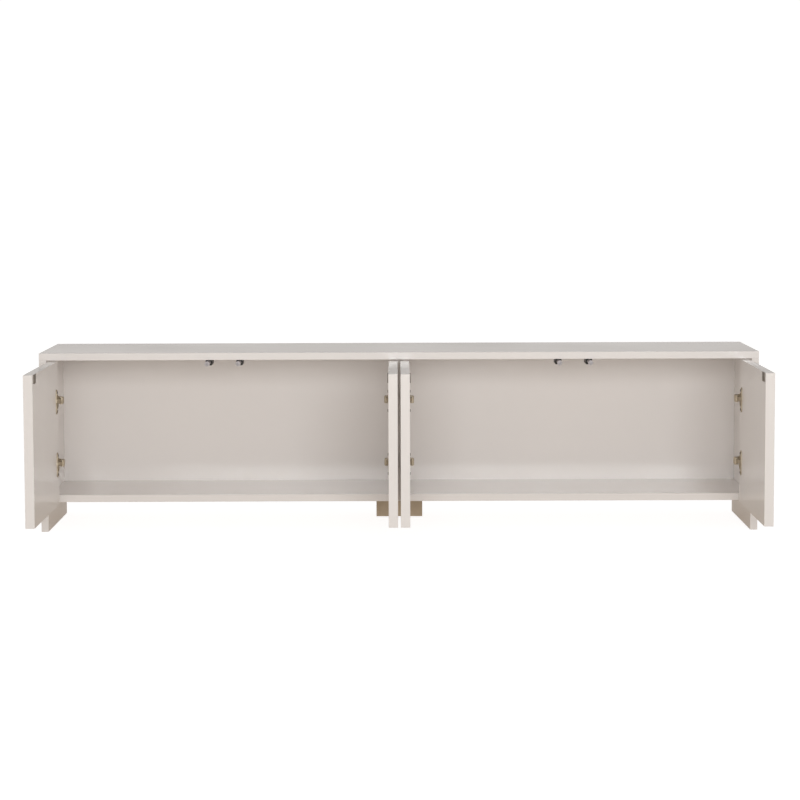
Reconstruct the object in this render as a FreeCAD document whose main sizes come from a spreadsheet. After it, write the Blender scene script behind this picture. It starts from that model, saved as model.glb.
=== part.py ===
import FreeCAD, Part
import os
import re

import Sketcher

# A long, low television stand: one top board on two end panels, a raised bottom board,
# a divider, two thin backs, a short foot in the middle, and four doors on concealed cup hinges.
# Millimetres. X runs along the stand, Y into it from the front face, Z up from the floor.
# Every door stands square open; it closes by turning 90 degrees about its hinge pivot.
# Depths are counted from the front face of the case. The origin is on the floor, in the middle
# of the box that holds the stand with its doors open.

doc = FreeCAD.newDocument("tv_stand")
sheet = doc.addObject("Spreadsheet::Sheet", "Sizes")

DIMENSIONS = [
    ("width", 1800, "overall length of the top"),
    ("depth", 350, "overall depth of the top"),
    ("height", 450, "floor to top face"),
    ("board", 18, "thickness of the lacquered boards"),
    ("edge_radius", 0.8, "softened edge of boards and doors"),
    ("leg_height", 72, "floor to the underside of the bottom board"),
    ("door_thickness", 22, "door thickness"),
    ("door_top_gap", 2, "gap between a closed door and the top"),
    ("door_drop", 3, "doors below the underside of the bottom board"),
    ("front_reveal", 3, "bottom board and divider behind a closed door"),
    ("end_gap", 4, "gap beside a closed outer door"),
    ("meeting_gap", 2.8, "gap between two closed doors that meet"),
    ("centre_gap", 1.8, "closed centre door to the middle plane"),
    ("back_thickness", 5, "thickness of the back panels"),
    ("back_inset", 26, "back panel behind face to the rear edges"),
    ("groove_depth", 6, "groove that holds a back panel"),
    ("foot_width", 120, "length of the middle foot"),
    ("foot_setback", 266, "front face to the middle foot"),
    ("hinge_end_distance", 100, "door end to the middle of a hinge"),
    ("pivot_short_in", 16, "door thickness less the pivot distance from the door edge"),
    ("pivot_short_deep", 17.5, "door thickness less the pivot distance from the door face"),
    ("cup_from_pivot", 16.5, "turning pivot to the cup axis"),
    ("cup_radius", 17.5, "hinge cup"),
    ("cup_depth", 12.5, "hinge cup below the door's inner face"),
    ("cup_wall", 0.8, "hinge cup side wall"),
    ("cup_floor", 1, "hinge cup bottom"),
    ("cup_notch_depth", 7, "notch in the cup's rim where the link passes"),
    ("cup_notch_width", 6.5, "notch from the cup's outside inwards"),
    ("cup_notch_clearance", 0.5, "link to each side of the notch"),
    ("flange_thickness", 2, "cup flange, proud of the door"),
    ("flange_width", 17, "cup flange wings"),
    ("flange_length", 62, "cup flange end to end"),
    ("rim_lip", 1.5, "round rim of the flange beyond the cup"),
    ("cup_screw_spacing", 48, "between the two screws of a cup"),
    ("cup_screw_offset", 9.5, "cup axis to its screw line"),
    ("link_pivot_in", 24, "turning pivot to the link pivot, along the stand"),
    ("link_pivot_deep", 12.5, "turning pivot to the link pivot, in depth"),
    ("link_chord", 17.5, "link pivot to the cup end"),
    ("link_sagitta", 3, "bow of the link"),
    ("link_thickness", 2.5, "link plate"),
    ("link_width", 10, "link plate"),
    ("link_open_angle", 242, "direction of the link when the door is open, degrees"),
    ("link_eye_radius", 3, "link eye on the arm"),
    ("link_end_radius", 1.8, "rolled end of the link in the cup"),
    ("pin_radius", 1.5, "hinge pin"),
    ("running_clearance", 0.05, "radial clearance of a turning or sliding fit"),
    ("arm_width", 18, "hinge arm channel"),
    ("arm_sheet", 1.5, "hinge arm steel"),
    ("arm_nose_length", 19, "straight nose of the arm"),
    ("arm_nose_above", 5.5, "link pivot to the arm's outer face"),
    ("arm_nose_below", 3.5, "link pivot to the arm's lower edge"),
    ("arm_nose_ahead", 3.7, "link pivot to the arm's front edge"),
    ("arm_tail_height", 12, "arm above the panel face at its tail"),
    ("arm_tail_end", 94, "front face to the arm's rear end"),
    ("arm_crank_run", 18, "nose to tail of the arm, where it steps towards the panel"),
    ("arm_crank_lead", 4, "the step starts this much sooner on the cheeks' lower edge"),
    ("arm_skirt_gap", 1, "cheeks of the arm above the plate's wings"),
    ("arm_screw_from_end", 9, "arm's rear end to its rear screw"),
    ("arm_screw_spacing", 16, "between the two screws of an arm"),
    ("plate_line", 59, "front face to the plate's screw line"),
    ("plate_screw_spacing", 32, "between the two screws of a plate"),
    ("plate_screw_length", 8, "mounting plate screw in the panel"),
    ("plate_wing_length", 44, "mounting plate wings"),
    ("plate_wing_width", 11, "mounting plate wings"),
    ("plate_sheet", 2, "mounting plate wings"),
    ("ridge_width", 12, "raised rib under the arm"),
    ("ridge_height", 9, "raised rib under the arm"),
    ("ridge_ahead", 2, "raised rib before the wings"),
    ("ridge_short", 2, "raised rib's rear end before the arm's"),
    ("screw_radius", 1.9, "wood screw shank"),
    ("screw_length", 12, "wood screw shank in the wood"),
    ("screw_head_radius", 3.6, "wood screw head"),
    ("screw_head_height", 1.4, "wood screw head"),
    ("latch_offset", 38.5, "meeting line of two doors to a push latch"),
    ("latch_front", 40, "front face to the latch housing"),
    ("latch_width", 15.5, "latch housing"),
    ("latch_height", 16.5, "latch housing under the top"),
    ("latch_length", 68, "latch housing"),
    ("latch_axis_drop", 8.7, "plunger axis below the top board"),
    ("latch_tab_length", 22, "screw tab behind the housing"),
    ("latch_tab_thickness", 3, "screw tab behind the housing"),
    ("latch_screw_margin", 5.5, "ends of the screw tab to its two screws"),
    ("bore_end_wall", 4, "closed rear end of the plunger bore"),
    ("plunger_radius", 5, "latch plunger"),
    ("plunger_length", 75.7, "latch plunger with its tip"),
    ("plunger_stroke", 40, "plunger travel while its door closes"),
    ("tip_radius", 6.4, "latch plunger tip"),
    ("tip_length", 5, "latch plunger tip"),
    ("magnet_radius", 4, "magnet in the tip"),
    ("magnet_length", 3, "magnet in the tip"),
    ("strike_width", 28, "strike plate along the door"),
    ("strike_height", 22, "strike plate"),
    ("strike_thickness", 2, "strike plate"),
    ("strike_from_edge", 31, "door's free edge to the strike plate's middle"),
    ("strike_clearance", 0.3, "closed strike plate to the pushed-in tip"),
    ("dowel_radius", 4, "wooden dowels"),
    ("dowel_in_face", 12, "dowel in a board's face"),
    ("dowel_in_edge", 18, "dowel in a board's edge"),
    ("dowel_margin", 45, "outer dowels from the board's edge"),
    ("foot_dowel_spacing", 60, "between the two dowels of the middle foot"),
    ("cam_radius", 7.5, "cam locks under the bottom board"),
    ("cam_height", 12.5, "cam locks under the bottom board"),
    ("cam_from_end", 34, "board end to a cam lock"),
    ("cam_margin", 95, "cam locks from the board's edges"),
    ("cam_bolt_radius", 3.5, "cam bolts"),
    ("cam_bolt_in_panel", 11, "cam bolt in the end panel"),
    ("bracket_width", 50, "steel angle behind the middle foot"),
    ("bracket_leg", 32, "steel angle behind the middle foot"),
    ("bracket_sheet", 2, "steel angle behind the middle foot"),
    ("bracket_screw_spacing", 25, "between the two screws of a leg of the angle"),
    ("bracket_screw_line", 21, "corner of the angle to its screws"),
]

for row, (alias, value, note) in enumerate(DIMENSIONS, start=1):
    sheet.set(f"A{row}", note)
    sheet.set(f"B{row}", str(value))
    sheet.setAlias(f"B{row}", alias)
doc.recompute()

ALIAS = re.compile(r"\b(" + "|".join(alias for alias, value, note in DIMENSIONS) + r")\b")

# Places that several pieces share, as formulas of the sheet's names.
END_FACE = "(width / 2 - board)"
TOP_UNDERSIDE = "(height - board)"
BOTTOM_TOP = "(leg_height + board)"
CARCASS_FRONT = "(door_thickness + front_reveal)"
BACK_FRONT = "(depth - back_inset - back_thickness)"
DOOR_WIDTH = "((width / 2 - board - end_gap - meeting_gap - centre_gap) / 2)"
DOOR_TOP = "(height - board - door_top_gap)"
MEETING_LINE = f"(centre_gap + {DOOR_WIDTH} + meeting_gap / 2)"
PIVOT_IN = "(door_thickness - pivot_short_in)"
PIVOT_DEEP = "(door_thickness - pivot_short_deep)"
OPEN_OUTER = f"({PIVOT_IN} - {PIVOT_DEEP})"
OPEN_INNER = f"({OPEN_OUTER} + door_thickness)"
OPEN_EDGE = f"({PIVOT_IN} + {PIVOT_DEEP})"
CUP_LINE = f"({OPEN_EDGE} - {PIVOT_IN} - cup_from_pivot)"
LINK_IN = f"({PIVOT_IN} + link_pivot_in)"
LINK_DEEP = f"({PIVOT_DEEP} + link_pivot_deep)"
LATCH_AXIS = f"({TOP_UNDERSIDE} - latch_axis_drop)"
FRONT_FACE = f"(({DOOR_WIDTH} - {OPEN_EDGE} - depth) / 2)"
TIP_FRONT = "(door_thickness + strike_thickness + strike_clearance - plunger_stroke)"
HINGE_HEIGHTS = ["(leg_height + hinge_end_distance)", f"({DOOR_TOP} - hinge_end_distance)"]


class Site:
    """A door's closed outer hinge corner: distances in from it run towards the door's free edge."""

    def __init__(self, name, corner, turn, panel, latch):
        self.name = name
        self.corner = corner
        self.turn = turn
        self.panel = panel
        self.latch = latch

    def at(self, distance):
        sign = "+" if self.turn > 0 else "-"
        return f"({self.corner} {sign} ({distance}))"

    def low(self, start, end):
        return self.at(start if self.turn > 0 else end)


OUTER_PANEL = "(-end_gap)"
CENTRE_PANEL = "(board / 2 - centre_gap)"
SITES = [
    Site("left_outer", f"(-{END_FACE} + end_gap)", 1, OUTER_PANEL, f"(-{MEETING_LINE} - latch_offset)"),
    Site("left_centre", "(-centre_gap)", -1, CENTRE_PANEL, f"(-{MEETING_LINE} + latch_offset)"),
    Site("right_centre", "(centre_gap)", 1, CENTRE_PANEL, f"({MEETING_LINE} - latch_offset)"),
    Site("right_outer", f"({END_FACE} - end_gap)", -1, OUTER_PANEL, f"({MEETING_LINE} + latch_offset)"),
]
WORLD = Site("world", "0", 1, None, None)


def bind(item, **formulas):
    """Ties properties of an object to formulas of the sheet's names."""
    for prop, text in formulas.items():
        item.setExpression(prop.replace("_", "."), ALIAS.sub(r"Sizes.\1", str(text)))


def put(item, x, y, z):
    """Ties an object's place to three formulas; y is the depth behind the front face."""
    bind(item, Placement_Base_x=x, Placement_Base_y=f"({y}) + {FRONT_FACE}", Placement_Base_z=z)


def box(name, site, u, v, z):
    """A block between three pairs of limits: along the stand, into it, and up."""
    item = doc.addObject("Part::Box", name)
    bind(item, Length=f"({u[1]}) - ({u[0]})", Width=f"({v[1]}) - ({v[0]})", Height=f"({z[1]}) - ({z[0]})")
    put(item, site.low(u[0], u[1]), v[0], z[0])
    return item


AXES = {
    "u": FreeCAD.Rotation(FreeCAD.Vector(0, 1, 0), 90),
    "v": FreeCAD.Rotation(FreeCAD.Vector(1, 0, 0), -90),
    "z": FreeCAD.Rotation(),
}


def rod(name, site, along, u, v, z, radius):
    """A cylinder whose axis runs along u, v or z; the pair on that axis gives its two ends."""
    ends = {"u": u, "v": v, "z": z}[along]
    item = doc.addObject("Part::Cylinder", name)
    item.Placement = FreeCAD.Placement(FreeCAD.Vector(), AXES[along])
    bind(item, Radius=radius, Height=f"({ends[1]}) - ({ends[0]})")
    start_u = site.low(u[0], u[1]) if along == "u" else site.at(u)
    put(item, start_u, v[0] if along == "v" else v, z[0] if along == "z" else z)
    return item


def join(name, pieces):
    """One solid from pieces that touch."""
    item = doc.addObject("Part::MultiFuse", name)
    item.Shapes = pieces
    item.Refine = True
    return item


def group(name, pieces):
    """Separate solids that share one node."""
    item = doc.addObject("Part::Compound", name)
    item.Links = pieces
    return item


def cut(name, base, tools):
    """A piece less everything that is let into it."""
    item = doc.addObject("Part::Cut", name)
    item.Base = base
    item.Tool = tools[0] if len(tools) == 1 else group(name + "_tools", tools)
    return item


def origin_plane(body, role):
    return [feature for feature in body.Origin.OriginFeatures if feature.Role == role][0]


def sketch_on(body, role, name):
    sketch = body.newObject("Sketcher::SketchObject", name)
    sketch.AttachmentSupport = (origin_plane(body, role), [""])
    sketch.MapMode = "FlatFace"
    return sketch


def outline(sketch, points):
    """Draws a closed outline; every corner is tied to the sheet by its two distances."""
    corners = [FreeCAD.Vector(index, index * index, 0) for index in range(len(points))]
    for index, corner in enumerate(corners):
        sketch.addGeometry(Part.LineSegment(corner, corners[(index + 1) % len(corners)]))
    for index, (x, y) in enumerate(points):
        sketch.addConstraint(Sketcher.Constraint("Coincident", index, 2, (index + 1) % len(points), 1))
        for kind, text in (("DistanceX", x), ("DistanceY", y)):
            added = sketch.addConstraint(Sketcher.Constraint(kind, -1, 1, index, 1, 10.0 + index))
            sketch.setExpression(f"Constraints[{added}]", ALIAS.sub(r"Sizes.\1", text))


def extrusion(body, sketch, thickness):
    """Pads an outline to both sides of its plane."""
    pad = body.newObject("PartDesign::Pad", body.Name + "_pad")
    pad.Profile = sketch
    pad.Midplane = True
    bind(pad, Length=thickness)
    return pad


def board(name, site, u, v, z):
    """A lacquered board with all its edges softened."""
    body = doc.addObject("PartDesign::Body", name + "_board")
    sketch = sketch_on(body, "XY_Plane", name + "_outline")
    length = f"({u[1]}) - ({u[0]})"
    width = f"({v[1]}) - ({v[0]})"
    outline(sketch, [("0", "0"), (length, "0"), (length, width), ("0", width)])
    pad = extrusion(body, sketch, f"({z[1]}) - ({z[0]})")
    doc.recompute()
    rounding = body.newObject("PartDesign::Fillet", name + "_rounding")
    rounding.Base = (pad, [""])
    rounding.UseAllEdges = True
    bind(rounding, Radius="edge_radius")
    put(body, site.low(u[0], u[1]), v[0], f"(({z[0]}) + ({z[1]})) / 2")
    return body


def side_profile(name, site, points, thickness, height):
    """A plate of one outline seen from above, at a hinge's height, turned over for a right-hand hinge."""
    body = doc.addObject("PartDesign::Body", name)
    sketch = sketch_on(body, "XY_Plane", name + "_outline")
    outline(sketch, points)
    extrusion(body, sketch, thickness)
    if site.turn < 0:
        body.Placement = FreeCAD.Placement(FreeCAD.Vector(), FreeCAD.Rotation(FreeCAD.Vector(0, 1, 0), 180))
    put(body, site.corner, "0", height)
    return body


def screw(name, site, along, tip, seat, u, v, z):
    """A pan-head screw: shank from its tip to the seat under the head, then the head."""
    inward = "-" if along.startswith("-") else "+"
    axis = along[-1]
    head_top = f"({seat}) {inward} screw_head_height"
    ordered = (tip, seat) if inward == "+" else (seat, tip)
    head = (seat, head_top) if inward == "+" else (head_top, seat)
    shank_ends = {"u": (ordered, v, z), "v": (u, ordered, z), "z": (u, v, ordered)}[axis]
    head_ends = {"u": (head, v, z), "v": (u, head, z), "z": (u, v, head)}[axis]
    shank_rod = rod(name + "_shank", site, axis, *shank_ends, "screw_radius")
    head_rod = rod(name + "_head", site, axis, *head_ends, "screw_head_radius")
    return join(name, [shank_rod, head_rod])


def around(middle, size):
    """Two limits either side of a middle."""
    return (f"({middle}) - ({size}) / 2", f"({middle}) + ({size}) / 2")


parts = {}


def keep(label, item):
    """Names a finished sub-part."""
    item.Label = label
    parts[label] = item
    return item


# ---- Hinges: two on every door ------------------------------------------------------------------

ARM_NOSE = {
    "front": f"({LINK_DEEP} - arm_nose_ahead)",
    "back": f"({LINK_DEEP} - arm_nose_ahead + arm_nose_length)",
    "top": f"({LINK_IN} + arm_nose_above)",
    "low": f"({LINK_IN} - arm_nose_below)",
}
CUTTER_OVERRUN = "2"


def arm_outline(site, inset, past):
    """The cranked channel from above: nose at the cup, tail along the panel.

    The outline shrinks by inset on its closed side and runs past its open sides.
    """
    tail = f"({site.panel} + arm_tail_height - {inset})"
    foot = f"({site.panel} + plate_sheet + arm_skirt_gap - {past})"
    crank = f"({ARM_NOSE['back']} + arm_crank_run)"
    return [
        (f"{ARM_NOSE['low']} - {past}", f"{ARM_NOSE['front']} - {past}"),
        (f"{ARM_NOSE['top']} - {inset}", f"{ARM_NOSE['front']} - {past}"),
        (f"{ARM_NOSE['top']} - {inset}", f"{ARM_NOSE['back']} - {inset} / 2"),
        (tail, f"{crank} - {inset} / 2"),
        (tail, f"arm_tail_end + {past}"),
        (foot, f"arm_tail_end + {past}"),
        (foot, f"{crank} - arm_crank_lead - arm_sheet - {past} / 2"),
        (f"{ARM_NOSE['low']} - {past}", f"{ARM_NOSE['back']} - arm_crank_lead"),
    ]


def hinge_arm(tag, site, height):
    """A steel channel, open towards the panel and at both ends, with the link pivot across its nose."""
    blank = side_profile(tag + "_blank", site, arm_outline(site, "0", "0"), "arm_width", height)
    inside = side_profile(tag + "_inside", site, arm_outline(site, "arm_sheet", CUTTER_OVERRUN),
                          "arm_width - 2 * arm_sheet", height)
    return cut(tag, blank, [inside, hinge_pin(tag + "_pin_hole", site, height)])


def hinge_pin(tag, site, height):
    """The link's pivot pin, from cheek to cheek of the arm."""
    return rod(tag, site, "z", LINK_IN, LINK_DEEP, around(height, "arm_width"), "pin_radius")


def hinge_link(tag, site, height):
    """A bowed plate on an arc, with a bored eye on the arm's pin and a rolled end inside the cup."""
    arc_radius = "((link_chord * link_chord / 4 + link_sagitta * link_sagitta) / (2 * link_sagitta))"
    half_angle = "(2 * atan(2 * link_sagitta / link_chord))"
    ahead = "(link_open_angle * 1deg)"
    aside = "((link_open_angle - 90) * 1deg)"
    middle_u = f"{LINK_IN} + link_chord / 2 * cos({ahead}) + ({arc_radius} - link_sagitta) * cos({aside})"
    middle_v = f"{LINK_DEEP} + link_chord / 2 * sin({ahead}) + ({arc_radius} - link_sagitta) * sin({aside})"
    width = around(height, "link_width")
    half = "link_thickness / 2"
    outside = rod(tag + "_outside", site, "z", middle_u, middle_v, width, f"{arc_radius} + {half}")
    inside = rod(tag + "_inside", site, "z", middle_u, middle_v, width, f"{arc_radius} - {half}")
    turned = "(link_open_angle - 270) * 1deg" if site.turn > 0 else "(450 - link_open_angle) * 1deg"
    bind(outside, Angle=f"2 * {half_angle}", Placement_Rotation_Angle=f"{turned} - {half_angle}")
    plate = cut(tag + "_plate", outside, [inside])
    end_u = f"{LINK_IN} + link_chord * cos({ahead})"
    end_v = f"{LINK_DEEP} + link_chord * sin({ahead})"
    eye = rod(tag + "_eye", site, "z", LINK_IN, LINK_DEEP, width, "link_eye_radius")
    end = rod(tag + "_end", site, "z", end_u, end_v, width, "link_end_radius")
    bore = rod(tag + "_bore", site, "z", LINK_IN, LINK_DEEP, width, "pin_radius + running_clearance")
    return cut(tag, join(tag + "_blank", [plate, eye, end]), [bore])


def cup_bore(tag, site, height):
    """The round pocket for a cup in the door's inner face."""
    depth = (f"{OPEN_INNER} - cup_depth", OPEN_INNER)
    return rod(tag, site, "u", depth, CUP_LINE, height, "cup_radius")


def cup_screws(tag, site, height):
    """The two screws of one cup's flange."""
    line = f"{CUP_LINE} - cup_screw_offset"
    seat = f"{OPEN_INNER} + flange_thickness"
    return [screw(f"{tag}_{index}", site, "u", f"{OPEN_INNER} - screw_length", seat, None, line,
                  f"{height} {sign} cup_screw_spacing / 2") for index, sign in enumerate("-+")]


def hinge_cup(tag, site, height, screws):
    """A pressed cup with its round rim and two flange wings, hollow from the rim down."""
    proud = (OPEN_INNER, f"{OPEN_INNER} + flange_thickness")
    hollow = (f"{OPEN_INNER} - cup_depth + cup_floor", f"{OPEN_INNER} + flange_thickness")
    line = f"{CUP_LINE} - cup_screw_offset"
    half_wing = "(flange_length / 2 - flange_width / 2)"
    shell = [
        cup_bore(tag + "_shell", site, height),
        rod(tag + "_rim", site, "u", proud, CUP_LINE, height, "cup_radius + rim_lip"),
        box(tag + "_wings", site, proud, around(line, "flange_width"), around(height, f"2 * {half_wing}")),
        rod(tag + "_low_wing", site, "u", proud, line, f"{height} - {half_wing}", "flange_width / 2"),
        rod(tag + "_high_wing", site, "u", proud, line, f"{height} + {half_wing}", "flange_width / 2"),
    ]
    cavity = rod(tag + "_cavity", site, "u", hollow, CUP_LINE, height, "cup_radius - cup_wall")
    notch = box(tag + "_notch", site, (f"{OPEN_INNER} - cup_notch_depth", f"{OPEN_INNER} + flange_thickness"),
                (f"{CUP_LINE} + cup_radius - cup_notch_width", f"{CUP_LINE} + cup_radius + rim_lip"),
                around(height, "link_width + 2 * cup_notch_clearance"))
    return cut(tag, join(tag + "_blank", shell), [join(tag + "_room", [cavity, notch])] + screws)


def plate_screws(tag, site, height):
    """The two wood screws of one mounting plate."""
    seat = f"{site.panel} + plate_sheet"
    return [screw(f"{tag}_{index}", site, "u", f"{site.panel} - plate_screw_length", seat, None, "plate_line",
                  f"{height} {sign} plate_screw_spacing / 2") for index, sign in enumerate("-+")]


def arm_screws(tag, site, height):
    """The fixing screw and the setting screw, through the arm into the plate's rib."""
    seat = f"{site.panel} + arm_tail_height"
    tip = f"{site.panel} + plate_sheet"
    lines = ("arm_tail_end - arm_screw_from_end", "arm_tail_end - arm_screw_from_end - arm_screw_spacing")
    return [screw(f"{tag}_{index}", site, "u", tip, seat, None, line, height)
            for index, line in enumerate(lines)]


def hinge_plate(tag, site, height, screws):
    """A mounting plate: two wings on the panel and the raised rib that the arm sits over."""
    flat = (site.panel, f"{site.panel} + plate_sheet")
    rib = (site.panel, f"{site.panel} + ridge_height")
    wings = box(tag + "_wings", site, flat, around("plate_line", "plate_wing_width"),
                around(height, "plate_wing_length"))
    rib_ends = ("plate_line - plate_wing_width / 2 - ridge_ahead", "arm_tail_end - ridge_short")
    ridge = box(tag + "_ridge", site, rib, rib_ends, around(height, "ridge_width"))
    return cut(tag, join(tag + "_blank", [wings, ridge]), screws)


hinge_parts = {site.name: {"cups": [], "links": [], "bores": [], "screws": []} for site in SITES}
arms = {"outer": [], "centre": []}
plates, pins, plate_fixings, arm_fixings = [], [], [], []

for site in SITES:
    made = hinge_parts[site.name]
    for end, height in zip(("low", "high"), HINGE_HEIGHTS):
        tag = f"{site.name}_{end}"
        screws_in_door = cup_screws(tag + "_cup_screw", site, height)
        screws_in_panel = plate_screws(tag + "_plate_screw", site, height)
        screws_in_rib = arm_screws(tag + "_arm_screw", site, height)
        made["screws"] += screws_in_door
        made["bores"].append(cup_bore(tag + "_bore", site, height))
        made["cups"].append(hinge_cup(tag + "_cup", site, height, screws_in_door))
        made["links"].append(hinge_link(tag + "_link", site, height))
        kind = "outer" if "outer" in site.name else "centre"
        arms[kind].append(cut(tag + "_arm_drilled", hinge_arm(tag + "_arm", site, height), screws_in_rib))
        pins.append(hinge_pin(tag + "_pin", site, height))
        plates.append(hinge_plate(tag + "_plate", site, height, screws_in_panel + screws_in_rib))
        plate_fixings += screws_in_panel
        arm_fixings += screws_in_rib
    keep(site.name + "_hinge_cups", group(site.name + "_cups", made["cups"]))
    keep(site.name + "_hinge_links", group(site.name + "_links", made["links"]))
    keep(site.name + "_cup_screws", group(site.name + "_screws", made["screws"]))

keep("outer_hinge_arms", group("outer_arms", arms["outer"]))
keep("centre_hinge_arms", group("centre_arms", arms["centre"]))
keep("hinge_mounting_plates", group("all_plates", plates))
keep("hinge_pins", group("all_pins", pins))
plate_screw_group = keep("mounting_plate_screws", group("all_plate_screws", plate_fixings))
keep("hinge_arm_screws", group("all_arm_screws", arm_fixings))


# ---- Doors, each with its strike plate ----------------------------------------------------------

def along_open_door(from_free_edge):
    """Depth of a point on an open door, measured from the door's free edge."""
    return f"({OPEN_EDGE} - {DOOR_WIDTH} + {from_free_edge})"


for site in SITES:
    thickness = (OPEN_OUTER, OPEN_INNER)
    blank = board(site.name + "_door", site, thickness, (along_open_door("0"), OPEN_EDGE),
                  ("leg_height - door_drop", DOOR_TOP))
    strike_line = along_open_door("strike_from_edge")
    strike_middle = f"({DOOR_TOP} - strike_height / 2)"
    proud = (OPEN_INNER, f"{OPEN_INNER} + strike_thickness")
    strike_blank = box(site.name + "_strike_blank", site, proud, around(strike_line, "strike_width"),
                       (f"{DOOR_TOP} - strike_height", DOOR_TOP))
    strike_screw = rod(site.name + "_strike_shank", site, "u",
                       (f"{OPEN_INNER} - screw_length", f"{OPEN_INNER} + strike_thickness"),
                       strike_line, strike_middle, "screw_radius")
    keep(site.name + "_strike_screw", strike_screw)
    keep(site.name + "_strike_plate", cut(site.name + "_strike", strike_blank, [strike_screw]))
    made = hinge_parts[site.name]
    let_in = made["bores"] + made["screws"] + [strike_screw]
    keep(site.name + "_door", cut(site.name + "_drilled", blank, let_in))


# ---- Push latches under the top, one for every door ---------------------------------------------

latch_screw_list = []
for site in SITES:
    middle = site.latch
    body_ends = ("latch_front", "latch_front + latch_length")
    tab_ends = (body_ends[1], f"{body_ends[1]} + latch_tab_length")
    across = around(middle, "latch_width")
    housing = box(site.name + "_latch_case", WORLD, across, body_ends,
                  (f"{TOP_UNDERSIDE} - latch_height", TOP_UNDERSIDE))
    tab = box(site.name + "_latch_tab", WORLD, across, tab_ends,
              (f"{TOP_UNDERSIDE} - latch_tab_thickness", TOP_UNDERSIDE))
    bore_ends = ("latch_front", f"{body_ends[1]} - bore_end_wall")
    bore = rod(site.name + "_latch_bore", WORLD, "v", middle, bore_ends, LATCH_AXIS,
               "plunger_radius + running_clearance")
    seat = f"{TOP_UNDERSIDE} - latch_tab_thickness"
    lines = (f"{body_ends[1]} + latch_screw_margin", f"{tab_ends[1]} - latch_screw_margin")
    screws = [screw(f"{site.name}_latch_screw_{index}", WORLD, "-z", f"{TOP_UNDERSIDE} + screw_length", seat,
                    middle, line, None) for index, line in enumerate(lines)]
    latch_screw_list += screws
    keep(site.name + "_latch_housing",
         cut(site.name + "_latch_drilled", join(site.name + "_latch_blank", [housing, tab]), [bore] + screws))
    tip_ends = (TIP_FRONT, f"{TIP_FRONT} + tip_length")
    shank_ends = (TIP_FRONT, f"{TIP_FRONT} + plunger_length")
    shank = rod(site.name + "_plunger_shank", WORLD, "v", middle, shank_ends, LATCH_AXIS, "plunger_radius")
    tip = rod(site.name + "_plunger_tip", WORLD, "v", middle, tip_ends, LATCH_AXIS, "tip_radius")
    magnet_ends = (TIP_FRONT, f"{TIP_FRONT} + magnet_length")
    magnet = rod(site.name + "_tip_magnet", WORLD, "v", middle, magnet_ends, LATCH_AXIS, "magnet_radius")
    keep(site.name + "_latch_magnet", magnet)
    keep(site.name + "_latch_plunger",
         cut(site.name + "_plunger_bored", join(site.name + "_plunger_blank", [shank, tip]), [magnet]))
latch_screw_group = keep("latch_screws", group("all_latch_screws", latch_screw_list))


# ---- Fixings of the case ------------------------------------------------------------------------

END_CENTRE = f"({END_FACE} + board / 2)"
dowel_list = []


def dowel(axis, u, v, z):
    dowel_list.append(rod(f"dowel_{len(dowel_list)}", WORLD, axis, u, v, z, "dowel_radius"))


top_ends = (f"{TOP_UNDERSIDE} - dowel_in_edge", f"{TOP_UNDERSIDE} + dowel_in_face")
for side in ("-", ""):
    for place in ("dowel_margin", "depth / 2", "depth - dowel_margin"):
        dowel("z", f"{side}{END_CENTRE}", place, top_ends)
    near, far = f"{END_FACE} - dowel_in_edge", f"{END_FACE} + dowel_in_face"
    across = (near, far) if side == "" else (f"-({far})", f"-({near})")
    for place in (f"{CARCASS_FRONT} + dowel_margin", "depth - dowel_margin"):
        dowel("u", across, place, "leg_height + board / 2")
for place in (f"{CARCASS_FRONT} + dowel_margin", "depth - 2 * dowel_margin"):
    dowel("z", "0", place, top_ends)
    dowel("z", "0", place, (f"{BOTTOM_TOP} - dowel_in_face", f"{BOTTOM_TOP} + dowel_in_edge"))
for side in ("-", ""):
    dowel("z", f"{side}foot_dowel_spacing / 2", "foot_setback + board / 2",
          ("leg_height - dowel_in_edge", "leg_height + dowel_in_face"))
dowels = keep("dowels", group("all_dowels", dowel_list))

cams, bolts, cam_pockets = [], [], []
for side in ("-", ""):
    near, far = f"{END_FACE} - cam_from_end", f"{END_FACE} + cam_bolt_in_panel"
    across = (near, far) if side == "" else (f"-({far})", f"-({near})")
    for index, place in enumerate((f"{CARCASS_FRONT} + cam_margin", "depth - cam_margin")):
        tag = f"cam_{'left' if side else 'right'}_{index}"
        bolt = rod(tag + "_bolt", WORLD, "u", across, place, "leg_height + board / 2", "cam_bolt_radius")
        lock_ends = ("leg_height", "leg_height + cam_height")
        lock = rod(tag + "_lock", WORLD, "z", f"{side}({near})", place, lock_ends, "cam_radius")
        bolts.append(bolt)
        cams.append(cut(tag, lock, [bolt]))
        cam_pockets.append(join(tag + "_pocket", [lock, bolt]))
cam_bolts = keep("cam_bolts", group("all_cam_bolts", bolts))
cam_locks = keep("cam_locks", group("all_cam_locks", cams))

BRACKET_FRONT = "(foot_setback + board)"
bracket_screw_list = []
for side in ("-", ""):
    line = f"{side}bracket_screw_spacing / 2"
    bracket_screw_list.append(screw(f"bracket_low_{len(bracket_screw_list)}", WORLD, "v",
                                    f"{BRACKET_FRONT} - screw_length", f"{BRACKET_FRONT} + bracket_sheet",
                                    line, None, "leg_height - bracket_screw_line"))
    bracket_screw_list.append(screw(f"bracket_high_{len(bracket_screw_list)}", WORLD, "-z",
                                    "leg_height + screw_length", "leg_height - bracket_sheet",
                                    line, f"{BRACKET_FRONT} + bracket_screw_line", None))
bracket_screws = keep("foot_bracket_screws", group("all_bracket_screws", bracket_screw_list))
bracket_across = around("0", "bracket_width")
upright = box("bracket_upright", WORLD, bracket_across, (BRACKET_FRONT, f"{BRACKET_FRONT} + bracket_sheet"),
              ("leg_height - bracket_leg", "leg_height"))
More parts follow.
